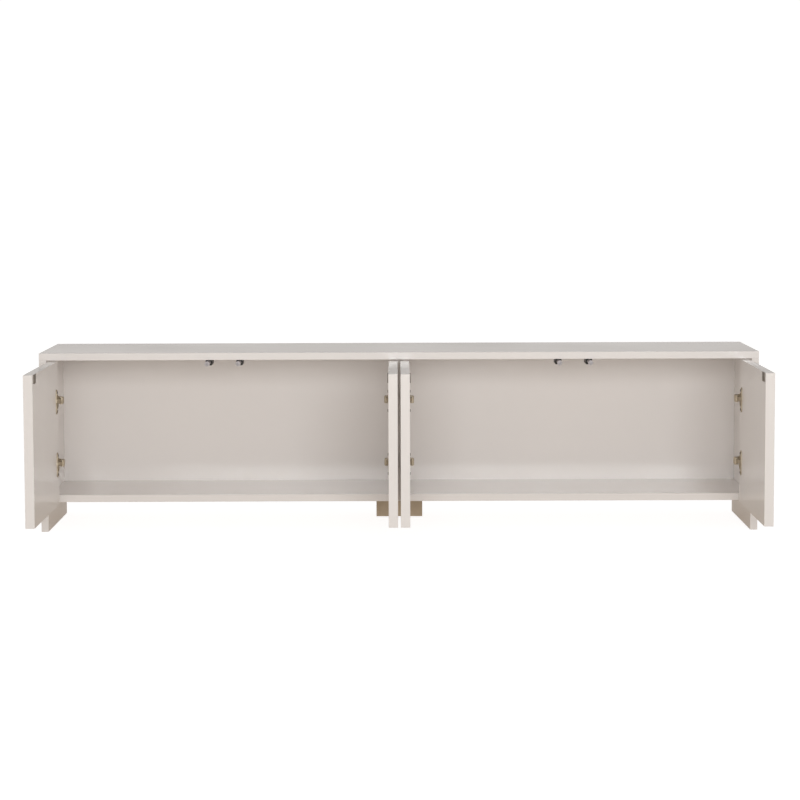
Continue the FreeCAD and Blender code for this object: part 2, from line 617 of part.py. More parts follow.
level = box("bracket_level", WORLD, bracket_across, (BRACKET_FRONT, f"{BRACKET_FRONT} + bracket_leg"),
            ("leg_height - bracket_sheet", "leg_height"))
keep("foot_bracket", cut("bracket", join("bracket_blank", [upright, level]), [bracket_screws]))


# ---- Boards of the case --------------------------------------------------------------------------

backs = {}
BACK_DEPTH = (BACK_FRONT, f"{BACK_FRONT} + back_thickness")
BACK_RISE = (f"{BOTTOM_TOP} - groove_depth", f"{TOP_UNDERSIDE} + groove_depth")
for name, across in (("left_back_panel", (f"-{END_FACE} - groove_depth", "groove_depth - board / 2")),
                     ("right_back_panel", ("board / 2 - groove_depth", f"{END_FACE} + groove_depth"))):
    backs[name] = keep(name, box(name, WORLD, across, BACK_DEPTH, BACK_RISE))
both_backs = [backs["left_back_panel"], backs["right_back_panel"]]

top = board("top_panel", WORLD, ("-width / 2", "width / 2"), ("0", "depth"), (TOP_UNDERSIDE, "height"))
keep("top_panel", cut("top_drilled", top, both_backs + [dowels, latch_screw_group]))
full_depth = ("0", "depth")
left_end = board("left_end", WORLD, ("-width / 2", f"-{END_FACE}"), full_depth, ("0", TOP_UNDERSIDE))
right_end = board("right_end", WORLD, (END_FACE, "width / 2"), full_depth, ("0", TOP_UNDERSIDE))
for label, blank, back in (("left_end_panel", left_end, backs["left_back_panel"]),
                           ("right_end_panel", right_end, backs["right_back_panel"])):
    keep(label, cut(label + "_drilled", blank, [back, dowels, cam_bolts, plate_screw_group]))
case_depth = (CARCASS_FRONT, "depth")
bottom = board("bottom", WORLD, (f"-{END_FACE}", END_FACE), case_depth, ("leg_height", BOTTOM_TOP))
keep("bottom_panel", cut("bottom_drilled", bottom, both_backs + [dowels, bracket_screws] + cam_pockets))
divider = board("divider", WORLD, around("0", "board"), case_depth, (BOTTOM_TOP, TOP_UNDERSIDE))
keep("centre_divider", cut("divider_drilled", divider, both_backs + [dowels, plate_screw_group]))
foot_depth = ("foot_setback", "foot_setback + board")
foot = board("foot", WORLD, around("0", "foot_width"), foot_depth, ("0", "leg_height"))
keep("centre_foot", cut("foot_drilled", foot, [dowels, bracket_screws]))


# ---- Checks and files ----------------------------------------------------------------------------

doc.recompute()
faults = [item.Name for item in doc.Objects if "Invalid" in item.State or "Error" in item.State]
for label, item in parts.items():
    if item.Shape.isNull() or not item.Shape.isValid() or not item.Shape.Solids:
        faults.append(label)
if faults:
    raise SystemExit("failed objects: " + ", ".join(faults))

os.makedirs("parts", exist_ok=True)
for label, item in parts.items():
    item.Shape.exportStep(f"parts/{label}.step")
print(len(parts), "sub-parts written")
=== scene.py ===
import math
import bmesh
import bpy
import numpy as np
from mathutils import Matrix, Vector


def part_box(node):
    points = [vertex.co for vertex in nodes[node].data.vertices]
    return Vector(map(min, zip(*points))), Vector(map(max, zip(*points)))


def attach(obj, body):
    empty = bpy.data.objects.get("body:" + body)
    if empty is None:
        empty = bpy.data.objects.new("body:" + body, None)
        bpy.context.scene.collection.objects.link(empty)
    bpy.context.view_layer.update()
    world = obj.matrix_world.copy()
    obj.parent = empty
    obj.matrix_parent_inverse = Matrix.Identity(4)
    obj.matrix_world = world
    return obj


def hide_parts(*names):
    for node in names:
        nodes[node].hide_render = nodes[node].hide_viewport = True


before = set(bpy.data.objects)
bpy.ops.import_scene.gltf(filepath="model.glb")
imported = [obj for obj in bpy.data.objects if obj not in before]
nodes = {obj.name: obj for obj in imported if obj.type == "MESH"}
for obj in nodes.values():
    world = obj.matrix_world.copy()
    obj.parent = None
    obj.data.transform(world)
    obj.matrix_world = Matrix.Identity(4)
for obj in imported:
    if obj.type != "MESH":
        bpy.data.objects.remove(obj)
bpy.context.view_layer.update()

scene = bpy.context.scene


# Camera: a long lens a good six metres in front of the case, a little above its top and tipped
# down, so that both pairs of doors are seen end on and the bays are seen into.
MM = 0.001
front_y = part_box("top_panel")[0].y
CAMERA_ACROSS, CAMERA_BEFORE_CASE, CAMERA_UP = -2.2 * MM, 6228.4 * MM, 902.7 * MM
LENS_MM, SENSOR_MM = 112.45, 36.0
FAR_LIMIT = 60.0
camera_data = bpy.data.cameras.new("camera")
camera_data.sensor_width = SENSOR_MM
camera_data.lens = LENS_MM
camera_data.clip_end = FAR_LIMIT
camera = bpy.data.objects.new("camera", camera_data)
scene.collection.objects.link(camera)
tip_down = math.radians(5.25)
roll = math.radians(-0.18)
turn = math.radians(-0.042)
camera.matrix_world = (
    Matrix.Translation((CAMERA_ACROSS, front_y - CAMERA_BEFORE_CASE, CAMERA_UP))
    @ Matrix.Rotation(turn, 4, "Z")
    @ Matrix.Rotation(math.pi / 2 - tip_down, 4, "X")
    @ Matrix.Rotation(roll, 4, "Z")
)
scene.camera = camera


# Studio: a plain pale floor under a plain pale surround. The floor that is seen is nearly shadowless;
# a beige floor just below it, which is not seen, gives the warm light that comes up from the ground.
def linear(hex_colour):
    """sRGB hex to linear RGBA: v/12.92 below 0.04045, else ((v+0.055)/1.055)^2.4."""
    values = [int(hex_colour[i:i + 2], 16) / 255 for i in (1, 3, 5)]
    return tuple(v / 12.92 if v <= 0.04045 else ((v + 0.055) / 1.055) ** 2.4 for v in values) + (1.0,)


def add_node(material, kind, links=None, **settings):
    """Adds one shader node; settings are its own properties or its input sockets, links feed its inputs."""
    tree = material.node_tree
    made = tree.nodes.new(kind)
    for name, value in settings.items():
        if hasattr(made, name):
            setattr(made, name, value)
        else:
            made.inputs[name.replace("_", " ")].default_value = value
    for name, socket in (links or {}).items():
        tree.links.new(socket, made.inputs[name])
    return made


def new_material(name):
    """An empty node material, with no nodes at all."""
    material = bpy.data.materials.new(name)
    material.use_nodes = True
    material.node_tree.nodes.clear()
    return material


def output(material, shader):
    """Joins a shader to the material's output."""
    add_node(material, "ShaderNodeOutputMaterial", {"Surface": shader})


FLOOR_HALF = 14.0
FLOOR_GLOW, FLOOR_MATT = 0.86, (0.4, 0.4, 0.4, 1.0)
BOUNCE_BEIGE, BOUNCE_GLOW, BOUNCE_LEVEL = linear("#d3cac0"), 0.27, -1 * MM


def floor_plane(name, level, material):
    """A square plane about the origin at one height."""
    corners = [(-FLOOR_HALF, -FLOOR_HALF, level), (FLOOR_HALF, -FLOOR_HALF, level),
               (FLOOR_HALF, FLOOR_HALF, level), (-FLOOR_HALF, FLOOR_HALF, level)]
    mesh = bpy.data.meshes.new(name)
    mesh.from_pydata(corners, [], [(0, 1, 2, 3)])
    mesh.materials.append(material)
    plane = bpy.data.objects.new(name, mesh)
    scene.collection.objects.link(plane)
    return plane


pale_floor = new_material("pale_studio_floor")
floor_glow = add_node(pale_floor, "ShaderNodeEmission", Color=linear("#ffffff"), Strength=FLOOR_GLOW)
floor_matt = add_node(pale_floor, "ShaderNodeBsdfDiffuse", Color=FLOOR_MATT)
floor_mix = add_node(pale_floor, "ShaderNodeAddShader")
pale_floor.node_tree.links.new(floor_glow.outputs[0], floor_mix.inputs[0])
pale_floor.node_tree.links.new(floor_matt.outputs[0], floor_mix.inputs[1])
output(pale_floor, floor_mix.outputs[0])
seen_floor = floor_plane("studio_floor", 0.0, pale_floor)
seen_floor.visible_diffuse = False
seen_floor.visible_glossy = False
seen_floor.visible_shadow = False

beige_floor = new_material("beige_bounce_floor")
beige_matt = add_node(beige_floor, "ShaderNodeBsdfPrincipled", Base_Color=BOUNCE_BEIGE, Roughness=1.0,
                      Emission_Color=BOUNCE_BEIGE, Emission_Strength=BOUNCE_GLOW)
output(beige_floor, beige_matt.outputs[0])
bounce_floor = floor_plane("bounce_floor", BOUNCE_LEVEL, beige_floor)
bounce_floor.visible_camera = False

# Surround: a bright warm-white band along the horizon, as of a paper backdrop, under a dimmer sky, and
# one broad, low, faintly cool lamp far in front, which lights the fronts and reaches into the bays.
BAND_TOP = math.sin(math.radians(4.0))
BAND_BLEND = 0.01
BAND_LIGHT = 1.08
SKY_LIGHT = 0.42
WARM_WHITE = (1.0, 0.965, 0.935, 1.0)
surround = bpy.data.worlds.new("surround")
surround.use_nodes = True
scene.world = surround
background = surround.node_tree.nodes["Background"]
background.inputs["Color"].default_value = WARM_WHITE
sky_place = add_node(surround, "ShaderNodeTexCoord")
sky_axes = add_node(surround, "ShaderNodeSeparateXYZ", {"Vector": sky_place.outputs["Generated"]})
sky_level = add_node(surround, "ShaderNodeMapRange", {"Value": sky_axes.outputs["Z"]},
                     From_Min=BAND_TOP, From_Max=BAND_TOP + BAND_BLEND, To_Min=BAND_LIGHT, To_Max=SKY_LIGHT)
surround.node_tree.links.new(sky_level.outputs[0], background.inputs["Strength"])


def soft_lamp(name, place, aim, size, power):
    """A rectangular area lamp at a place, turned to face a point."""
    lamp_data = bpy.data.lights.new(name, "AREA")
    lamp_data.shape = "RECTANGLE"
    lamp_data.size = size[0]
    lamp_data.size_y = size[1]
    lamp_data.energy = power
    lamp = bpy.data.objects.new(name, lamp_data)
    direction = Vector(aim) - Vector(place)
    lamp.matrix_world = Matrix.Translation(place) @ direction.to_track_quat("-Z", "Y").to_matrix().to_4x4()
    scene.collection.objects.link(lamp)
    return lamp


LAMP_PLACE, LAMP_AIM, LAMP_SIZE, LAMP_POWER = (0.4, -6.6, 1.4), (0, 0, 0.3), (3.4, 1.9), 166.0
LAMP_TINT = (0.96, 0.98, 1.0)
key_lamp = soft_lamp("key_lamp", LAMP_PLACE, LAMP_AIM, LAMP_SIZE, LAMP_POWER)
key_lamp.data.color = LAMP_TINT
scene.view_settings.view_transform = "Standard"


# Case: fibreboard boards sprayed all round with ivory polyester lacquer and polished to a gloss. The
# film levels itself, so the eye gets sharp reflections with a faint orange peel and one even tone.
def coat(name, material):
    """Gives a CAD node one material."""
    mesh = nodes[name].data
    mesh.materials.clear()
    mesh.materials.append(material)


NOISE_LOW, NOISE_HIGH = 0.3, 0.7
BUMP_STRENGTH = 0.6


def mottled(name, light, dark, patch, grain, depth, roughness, stretch=(1, 1, 1), **finish):
    """A finish whose tone and sheen drift over patches, with a fine grain of that depth; sizes in mm."""
    made = new_material(name)
    spot = add_node(made, "ShaderNodeTexCoord")
    drawn_out = add_node(made, "ShaderNodeMapping", {"Vector": spot.outputs["Object"]}, Scale=stretch)
    drift, fine = (add_node(made, "ShaderNodeTexNoise", {"Vector": drawn_out.outputs[0]},
                            Scale=1 / (size * MM), Detail=2.0) for size in (patch, grain))
    tone = add_node(made, "ShaderNodeMixRGB", {"Fac": drift.outputs["Fac"]}, Color1=linear(light),
                    Color2=linear(dark))
    sheen = add_node(made, "ShaderNodeMapRange", {"Value": drift.outputs["Fac"]}, From_Min=NOISE_LOW,
                     From_Max=NOISE_HIGH, To_Min=roughness[0], To_Max=roughness[1])
    relief = add_node(made, "ShaderNodeBump", {"Height": fine.outputs["Fac"]}, Strength=BUMP_STRENGTH,
                      Distance=depth * MM)
    shader = add_node(made, "ShaderNodeBsdfPrincipled",
                      {"Base Color": tone.outputs[0], "Roughness": sheen.outputs[0],
                       "Normal": relief.outputs["Normal"]}, **finish)
    output(made, shader.outputs[0])
    return made


lacquer = mottled("ivory_gloss_lacquer", "#f0ebe7", "#ece7e3", 260, 2.2, 0.0015, (0.15, 0.19), IOR=1.5)
SITES = ("left_outer", "left_centre", "right_centre", "right_outer")
for name in ("top_panel", "left_end_panel", "right_end_panel", "bottom_panel", "centre_divider",
             "left_back_panel", "right_back_panel"):
    coat(name, lacquer)

# Middle foot: the same fibreboard, coloured a darker, browner beige than the lacquer as painted shade, since
# it stands back in the shade under the bottom board. It is dead matt, with a fine tooth and slightly uneven
# tone.
painted_shade_foot = mottled("painted_shade_foot_beige", "#c8b9a3", "#b8a891", 22, 0.9, 0.05, (0.75, 0.9))
coat("centre_foot", painted_shade_foot)

# Dowels and cam bolts: beech dowels glued into the boards' ends, and turned zinc-alloy bolts that the
# cam locks pull on. Beech is pale, with fine pink-brown grain drawn out; the alloy is dull grey.
beech = mottled("beech", "#d9b489", "#b98d60", 6, 0.5, 0.06, (0.55, 0.7), stretch=(0.12, 1, 1))
zinc_alloy = mottled("die_cast_zinc", "#a9a9aa", "#8f9091", 5, 0.7, 0.04, (0.38, 0.52), Metallic=1.0)
coat("dowels", beech)
coat("cam_bolts", zinc_alloy)


# Cam locks: die-cast zinc drums pressed into the underside of the bottom board, one to each cam bolt.
# The open face is flush with the board and has a cross slot for the driver. Every small piece here
# and below is a profile carried round an outline, worked out as one grid of points.
def angles(count):
    """Angles spread evenly round a turn, half a step off the axes."""
    return (np.arange(count) + 0.5) * 2 * np.pi / count


def circle(count):
    """(cos, sin) at each of those angles."""
    turn_round = angles(count)
    return np.stack([np.cos(turn_round), np.sin(turn_round)], axis=1)


def carried(steps, rim=None, count=48):
    """Each step is (mix, reach, level): the ring is a circle of radius reach at mix 0, and the rim drawn in
    by reach at mix 1; levels run along the axis. Gives points (steps, angles, 3) as across, up, along."""
    count = count if rim is None else len(rim)
    out = circle(count)
    rim = out if rim is None else rim
    heading = rim / np.linalg.norm(rim, axis=1, keepdims=True)
    mix, reach, level = (np.array(column, float)[:, None, None] for column in zip(*steps))
    ring = (1 - mix) * reach * heading + mix * (rim - reach * out)
    return np.concatenate([ring, np.broadcast_to(level, ring.shape[:2] + (1,))], axis=2)


ROUND_STEPS = 5


def soft_wall(low, high, soft, mix=1, reach=0.0):
    """Steps up a wall whose two edges are quarter rounds: inset soft (1 - sin t), level soft (1 - cos t)."""
    t = np.linspace(0, np.pi / 2, ROUND_STEPS)
    inset, rise = soft * (1 - np.sin(t)), soft * (1 - np.cos(t))
    sign = 1 if mix else -1
    up = [(mix, reach + sign * i, low + r) for i, r in zip(inset, rise)]
    return up + [(mix, reach + sign * i, high - r) for i, r in zip(inset[::-1], rise[::-1])]


def skin(grid, lids=False):
    """(points, faces) of a grid of rings; lids closes the first and last ring with a flat face."""
    rings, count = grid.shape[:2]
    index = np.arange(rings * count).reshape(rings, count)
    after = np.roll(index, -1, axis=1)
    quads = np.stack([index[:-1], after[:-1], after[1:], index[1:]], axis=-1).reshape(-1, 4).tolist()
    if lids:
        quads += [index[0][::-1].tolist(), index[-1].tolist()]
    return grid.reshape(-1, 3), quads


DOUBLES = 2e-7
SHARP_ANGLE = math.radians(35)


def assemble(name, skins, material, body, replaced):
    """One mesh of several skins, given in metres, with doubles merged and every shell facing outwards."""
    points, faces, start = [], [], 0
    for skin_points, skin_faces in skins:
        points.append(skin_points)
        faces += [[corner + start for corner in face] for face in skin_faces]
        start += len(skin_points)
    mesh = bpy.data.meshes.new(name)
    mesh.from_pydata(np.concatenate(points).tolist(), [], faces)
    shell = bmesh.new()
    shell.from_mesh(mesh)
    bmesh.ops.remove_doubles(shell, verts=shell.verts, dist=DOUBLES)
    bmesh.ops.recalc_face_normals(shell, faces=shell.faces)
    shell.to_mesh(mesh)
    shell.free()
    mesh.shade_smooth()
    mesh.set_sharp_from_angle(angle=SHARP_ANGLE)
    mesh.materials.append(material)
    made = bpy.data.objects.new(name, mesh)
    scene.collection.objects.link(made)
    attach(made, body)
    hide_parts(*replaced)
    return made


def cross_slot(grid, half_width, arm, depth):
    """Sinks a cross into a turned face: level less depth where |a| or |b| is under half_width and both
    under arm, with edges that fall over a tenth of the arm."""
    across, up = np.abs(grid[..., 0]), np.abs(grid[..., 1])
    blend = arm / 10
    near = np.clip((half_width - np.minimum(across, up)) / blend + 0.5, 0, 1)
    within = np.clip((arm - np.maximum(across, up)) / blend + 0.5, 0, 1)
    top = np.clip((grid[..., 2] - (grid[..., 2].max() - depth)) / depth + 0.5, 0, 1)
    grid[..., 2] -= depth * near * within * top
    return grid


def face_rings(outer, level, count=16):
    """Steps across a flat turned face, from its rim to its middle."""
    return [(0, radius, level) for radius in np.linspace(outer, 0, count)]


CAM_RADIUS, CAM_RIM = 7.5, 0.5
CAM_SLOT_HALF, CAM_SLOT_ARM, CAM_SLOT_DEPTH = 0.9, 4.2, 2.5
locks_low, locks_high = (np.array(corner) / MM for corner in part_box("cam_locks"))
cam_steps = [(0, 0, 0)] + soft_wall(0, locks_high[2] - locks_low[2], CAM_RIM, 0, CAM_RADIUS)
cam_steps += face_rings(CAM_RADIUS - CAM_RIM, locks_high[2] - locks_low[2])[1:]
cams = []
for x in (locks_low[0] + CAM_RADIUS, locks_high[0] - CAM_RADIUS):
    for y in (locks_low[1] + CAM_RADIUS, locks_high[1] - CAM_RADIUS):
        grid = cross_slot(carried(cam_steps, count=64), CAM_SLOT_HALF, CAM_SLOT_ARM, CAM_SLOT_DEPTH)
        grid[..., 2] = locks_high[2] - grid[..., 2]
        points, faces = skin(grid + np.array([x, y, 0]))
        cams.append((points * MM, faces))
assemble("cam_lock_drums", cams, zinc_alloy, "carcass", ["cam_locks"])


# Foot bracket: a steel angle folded from 2 mm sheet, zinc plated, that ties the foot to the bottom
# board. The fold has an inner and an outer radius; the plating is pale grey with faint spangle.
zinc_plate = mottled("zinc_plated_steel", "#b4b6b9", "#9c9ea1", 7, 0.6, 0.02, (0.34, 0.48), Metallic=1.0)
BRACKET_SHEET, BRACKET_BEND = 2.0, 3.5
BEND_STEPS = 8
bracket_low, bracket_high = (np.array(corner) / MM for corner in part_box("foot_bracket"))
bend = np.linspace(0, np.pi / 2, BEND_STEPS)[:, None]
bend_centre = np.array([bracket_low[1] + BRACKET_BEND, bracket_high[2] - BRACKET_BEND])
outward = np.concatenate([-np.cos(bend), np.sin(bend)], axis=1)
leg_end = [[bracket_low[1] + BRACKET_SHEET, bracket_low[2]], [bracket_low[1], bracket_low[2]]]
flap_end = [[bracket_high[1], bracket_high[2]], [bracket_high[1], bracket_high[2] - BRACKET_SHEET]]
angle_section = np.concatenate([leg_end, bend_centre + BRACKET_BEND * outward, flap_end,
                                bend_centre + (BRACKET_BEND - BRACKET_SHEET) * outward[::-1]])
angle_rings = np.stack([np.insert(angle_section, 0, x, axis=1) for x in (bracket_low[0], bracket_high[0])])
points, faces = skin(angle_rings, lids=True)
assemble("foot_angle", [(points * MM, faces)], zinc_plate, "carcass", ["foot_bracket"])


# Screws: cold-headed steel with a pan head and a pressed cross recess, zinc plated bright and a
# little uneven. Each head's edge is round, and the recess reads as a dark cross.
screw_steel = mottled("zinc_plated_screw_steel", "#6d6862", "#57534e", 3, 0.4, 0.02, (0.3, 0.45),
                      Metallic=1.0)
SHANK_RADIUS, HEAD_RADIUS, HEAD_HEIGHT = 1.9, 3.6, 1.4
SLOT_HALF, SLOT_ARM, SLOT_DEPTH = 0.5, 2.0, 0.9
HEAD_RINGS = 16
AXIS_ORDER = {"u": [2, 0, 1], "v": [0, 2, 1], "z": [0, 1, 2]}


def stand(grid, axis, centre):
    """Turns a grid so that its levels run along u, v or z, and moves it to a centre."""
    return grid[..., AXIS_ORDER[axis]] + np.array(centre, float)


def screw(tip, seat, axis, centre, head=HEAD_RADIUS, height=HEAD_HEIGHT):
    """A turned profile: pointed shank up to the seat, then a head whose level is
    height (0.45 + 0.55 (1 - (r / head)^4)), with a cross slot."""
    sign = 1 if seat > tip else -1
    length = abs(seat - tip)
    radii = np.linspace(head, 0, HEAD_RINGS)
    dome = height * (0.45 + 0.55 * (1 - (radii / head) ** 4))
    steps = [(0, 0, -length), (0, SHANK_RADIUS, -length + 2 * SHANK_RADIUS), (0, SHANK_RADIUS, 0),
             (0, head, 0)]
    steps += [(0, radius, level) for radius, level in zip(radii, dome)]
    grid = cross_slot(carried(steps), SLOT_HALF, SLOT_ARM, SLOT_DEPTH)
    grid[..., 2] = seat + sign * grid[..., 2]
    return stand(grid, axis, centre)


fix_low, fix_high = (np.array(corner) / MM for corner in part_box("foot_bracket_screws"))
bracket_fixings = []
for x in (fix_low[0] + HEAD_RADIUS, fix_high[0] - HEAD_RADIUS):
    upright = screw(fix_high[2], bracket_high[2] - BRACKET_SHEET, "z", (x, fix_high[1] - HEAD_RADIUS, 0))
    level = screw(fix_low[1], bracket_low[1] + BRACKET_SHEET, "v", (x, 0, fix_low[2] + HEAD_RADIUS))
    for grid in (upright, level):
        points, faces = skin(grid)
        bracket_fixings.append((points * MM, faces))
assemble("foot_angle_screws", bracket_fixings, screw_steel, "carcass", ["foot_bracket_screws"])


# Hinge mounting plates: nickel-plated die castings screwed to the panels, two wings and a raised
# rib that the arm clips over. Satin nickel is warm grey and soft, without sharp reflections.
nickel = mottled("satin_nickel_plated_steel", "#c6b9a4", "#b2a48d", 9, 0.5, 0.03, (0.42, 0.55), Metallic=0.75)
DOOR_FACE_IN = 1.5
FLANGE_LENGTH = 62.0


def rounded(width, height, corner, shift=(0.0, 0.0), count=48):
    """A rectangle with round corners: its nearest corner's centre plus the corner radius along each angle."""
    out = circle(count)
    half = np.array([width, height]) / 2
    return np.sign(out) * (half - corner) + corner * out + shift


def block(rim, low, high, soft):
    """A closed slab of that outline between two levels, with soft edges."""
    return carried([(0, 0, low)] + soft_wall(low, high, soft) + [(0, 0, high)], rim)


class Site:
    """One door's hinge corner. u runs in from it, v back from the case's front face, z up from the floor."""

    def __init__(self, name, turn, panel):
        door_low, door_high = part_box(name + "_door")
        cups_low, cups_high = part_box(name + "_hinge_cups")
        side_low, side_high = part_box(panel)
        self.name = name
        self.turn = turn
        self.corner = (door_low.x if turn > 0 else door_high.x) / MM - turn * DOOR_FACE_IN
        self.inner = DOOR_FACE_IN + (door_high.x - door_low.x) / MM
        self.panel = turn * ((side_high.x if turn > 0 else side_low.x) / MM - self.corner)
        self.heights = (cups_low.z / MM + FLANGE_LENGTH / 2, cups_high.z / MM - FLANGE_LENGTH / 2)

    def world(self, points):
        """x = corner + turn u, y = front face + v, in metres."""
        across = self.corner + self.turn * points[:, 0]
        return np.stack([across, front_y / MM + points[:, 1], points[:, 2]], axis=1) * MM


PANELS = {"left_outer": "left_end_panel", "left_centre": "centre_divider", "right_centre": "centre_divider",
          "right_outer": "right_end_panel"}
TURNS = {"left_outer": 1, "left_centre": -1, "right_centre": 1, "right_outer": -1}
sites = [Site(name, TURNS[name], PANELS[name]) for name in SITES]
PLATE_LINE = 59.0
WING_LENGTH, WING_WIDTH, WING_SHEET, WING_CORNER, WING_EDGE = 44.0, 11.0, 2.0, 5.0, 0.6
RIB_WIDTH, RIB_HEIGHT, RIB_START, RIB_END, RIB_CORNER, RIB_EDGE = 12.0, 9.0, 51.5, 92.0, 2.5, 1.2


def for_hinges(shape, chosen):
    """Skins of a shape at both hinges of each chosen site, placed in the world."""
    skins = []
    for site in chosen:
        for height in site.heights:
            for made in shape(site, height):
                points, faces = made if isinstance(made, tuple) else skin(made)
                skins.append((site.world(points), faces))
    return skins


def plate_shape(site, height):
    """Two soft-edged slabs on the panel: the wings, and the rib along the arm."""
    wing_rim = rounded(WING_WIDTH, WING_LENGTH, WING_CORNER)
    rib_rim = rounded(RIB_END - RIB_START, RIB_WIDTH, RIB_CORNER)
    wings = block(wing_rim, site.panel, site.panel + WING_SHEET, WING_EDGE)
    rib = block(rib_rim, site.panel, site.panel + RIB_HEIGHT, RIB_EDGE)
    rib_middle = (RIB_START + RIB_END) / 2
    return [stand(wings, "u", (0, PLATE_LINE, height)), stand(rib, "u", (0, rib_middle, height))]


assemble("hinge_plate_castings", for_hinges(plate_shape, sites), nickel, "carcass",
         ["hinge_mounting_plates"])

PLATE_SCREW_SPACING = 32.0
PLATE_SCREW_LENGTH = 8.0


def plate_screw_shape(site, height):
    """A wood screw in each wing."""
    return [screw(site.panel - PLATE_SCREW_LENGTH, site.panel + WING_SHEET, "u",
                  (0, PLATE_LINE, height + side * PLATE_SCREW_SPACING / 2)) for side in (-1, 1)]


assemble("plate_cross_screws", for_hinges(plate_screw_shape, sites), screw_steel, "carcass",
         ["mounting_plate_screws"])


# Hinge arms: channels pressed from 1.5 mm steel and nickel plated, with a rounded nose over the link
# and a step down to the tail along the panel. The web's edges are bent to a radius.
LINK_IN, LINK_DEEP = 30.0, 17.0
ARM_WIDTH, ARM_SHEET, ARM_BEND, ARM_DEPTH = 18.0, 1.5, 3.0, 9.0
NOSE_TOP, NOSE_FRONT, NOSE_BACK, NOSE_ROUND = 35.5, 13.3, 32.3, 3.5
TAIL_HEIGHT, CRANK_RUN, ARM_END = 12.0, 18.0, 94.0
SPRING_FRONT, SPRING_CORNER, SPRING_EDGE = 20.3, 1.0, 0.5
CORNER_STEPS, NOSE_STEPS, CRANK_STEPS = 6, 7, 18
CRANK_LEAD, LAST_STRIP = 4.0, 1.5


def channel_section(depth):
    """A U in (drop below the web, up): cheeks of that depth, the outer corners bent round, then the inside
    of the sheet back again."""
    t = np.linspace(0, np.pi / 2, CORNER_STEPS)
    half = ARM_WIDTH / 2
    corner = np.stack([ARM_BEND * (1 - np.sin(t)), -half + ARM_BEND * (1 - np.cos(t))], axis=1)
    side = np.concatenate([[[depth, -half]], corner])
    outer = np.concatenate([side, side[::-1] * (1, -1)])
    inner_bend = ARM_BEND - ARM_SHEET
    inner = np.stack([ARM_SHEET + inner_bend * (1 - np.sin(t)),
                      -half + ARM_SHEET + inner_bend * (1 - np.cos(t))], axis=1)
    inner_side = np.concatenate([[[depth, -half + ARM_SHEET]], inner])
    return np.concatenate([outer, inner_side * (1, -1), inner_side[::-1]])


def arm_shape(site, height):
    """The U carried along v: web level = nose top less a quarter round at the front, then a smooth step
    3 s^2 - 2 s^3 down to the tail. The spring block fills the nose behind the link."""
    tail_top = site.panel + TAIL_HEIGHT
    front = NOSE_FRONT + NOSE_ROUND * (1 - np.cos(np.linspace(0, np.pi / 2, NOSE_STEPS)))
    crank = np.linspace(NOSE_BACK - CRANK_LEAD, NOSE_BACK + CRANK_RUN, CRANK_STEPS)
    v = np.concatenate([front, crank, [ARM_END - LAST_STRIP, ARM_END]])
    s = np.clip((v - NOSE_BACK) / CRANK_RUN, 0, 1)
    fall = (tail_top - NOSE_TOP) * (3 * s ** 2 - 2 * s ** 3)
    into_nose = np.clip(1 - (v - NOSE_FRONT) / NOSE_ROUND, 0, 1)
    web = NOSE_TOP - NOSE_ROUND * (1 - np.sqrt(1 - into_nose ** 2)) + fall
    low = NOSE_TOP - ARM_DEPTH + fall
    section = channel_section(ARM_DEPTH)
    drop = np.minimum(section[None, :, 0], (web - low)[:, None])
    ring = np.stack([web[:, None] - drop, np.broadcast_to(v[:, None], drop.shape),
                     np.broadcast_to(height + section[None, :, 1], drop.shape)], axis=2)
    block_height = NOSE_TOP - LINK_IN - ARM_SHEET
    spring_rim = rounded(2 * block_height, ARM_WIDTH - 2 * ARM_SHEET, SPRING_CORNER)
    spring = block(spring_rim, SPRING_FRONT, NOSE_BACK, SPRING_EDGE)
    return [skin(ring, lids=True), stand(spring, "v", (LINK_IN, 0, height))]


outer_sites = [site for site in sites if "outer" in site.name]
centre_sites = [site for site in sites if "centre" in site.name]
assemble("outer_hinge_channels", for_hinges(arm_shape, outer_sites), nickel, "carcass",
         ["outer_hinge_arms"])
assemble("centre_hinge_channels", for_hinges(arm_shape, centre_sites), nickel, "carcass",
         ["centre_hinge_arms"])

ARM_SCREW_LINES = (85.0, 69.0)


def arm_screw_shape(site, height):
    """The fixing screw and the setting screw through the arm's tail."""
    return [screw(site.panel + WING_SHEET, site.panel + TAIL_HEIGHT, "u", (0, line, height))
            for line in ARM_SCREW_LINES]


assemble("arm_cross_screws", for_hinges(arm_screw_shape, sites), screw_steel, "carcass",
         ["hinge_arm_screws"])

# Hinge pins: drawn steel pins riveted over at both cheeks of the arm, plated, with low round heads.
drawn_steel = mottled("drawn_plated_steel", "#a5a3a0", "#8d8b88", 2, 0.3, 0.01, (0.25, 0.35), Metallic=1.0)
PIN_RADIUS, RIVET_RADIUS, RIVET_HEIGHT = 1.5, 2.1, 0.35


def pin_shape(site, height):
    """A turned pin between two domed rivet heads."""
    half = ARM_WIDTH / 2
    rivet = [(0, RIVET_RADIUS, half), (0, RIVET_RADIUS * 0.8, half + RIVET_HEIGHT * 0.7),
             (0, 0, half + RIVET_HEIGHT)]
    steps = [(0, reach, -level) for mix, reach, level in rivet[::-1]] + [(0, PIN_RADIUS, -half)]
    steps += [(0, PIN_RADIUS, half)] + rivet
    return [stand(carried(steps, count=24), "z", (LINK_IN, LINK_DEEP, height))]


assemble("riveted_hinge_pins", for_hinges(pin_shape, sites), drawn_steel, "carcass",
         ["hinge_pins"])


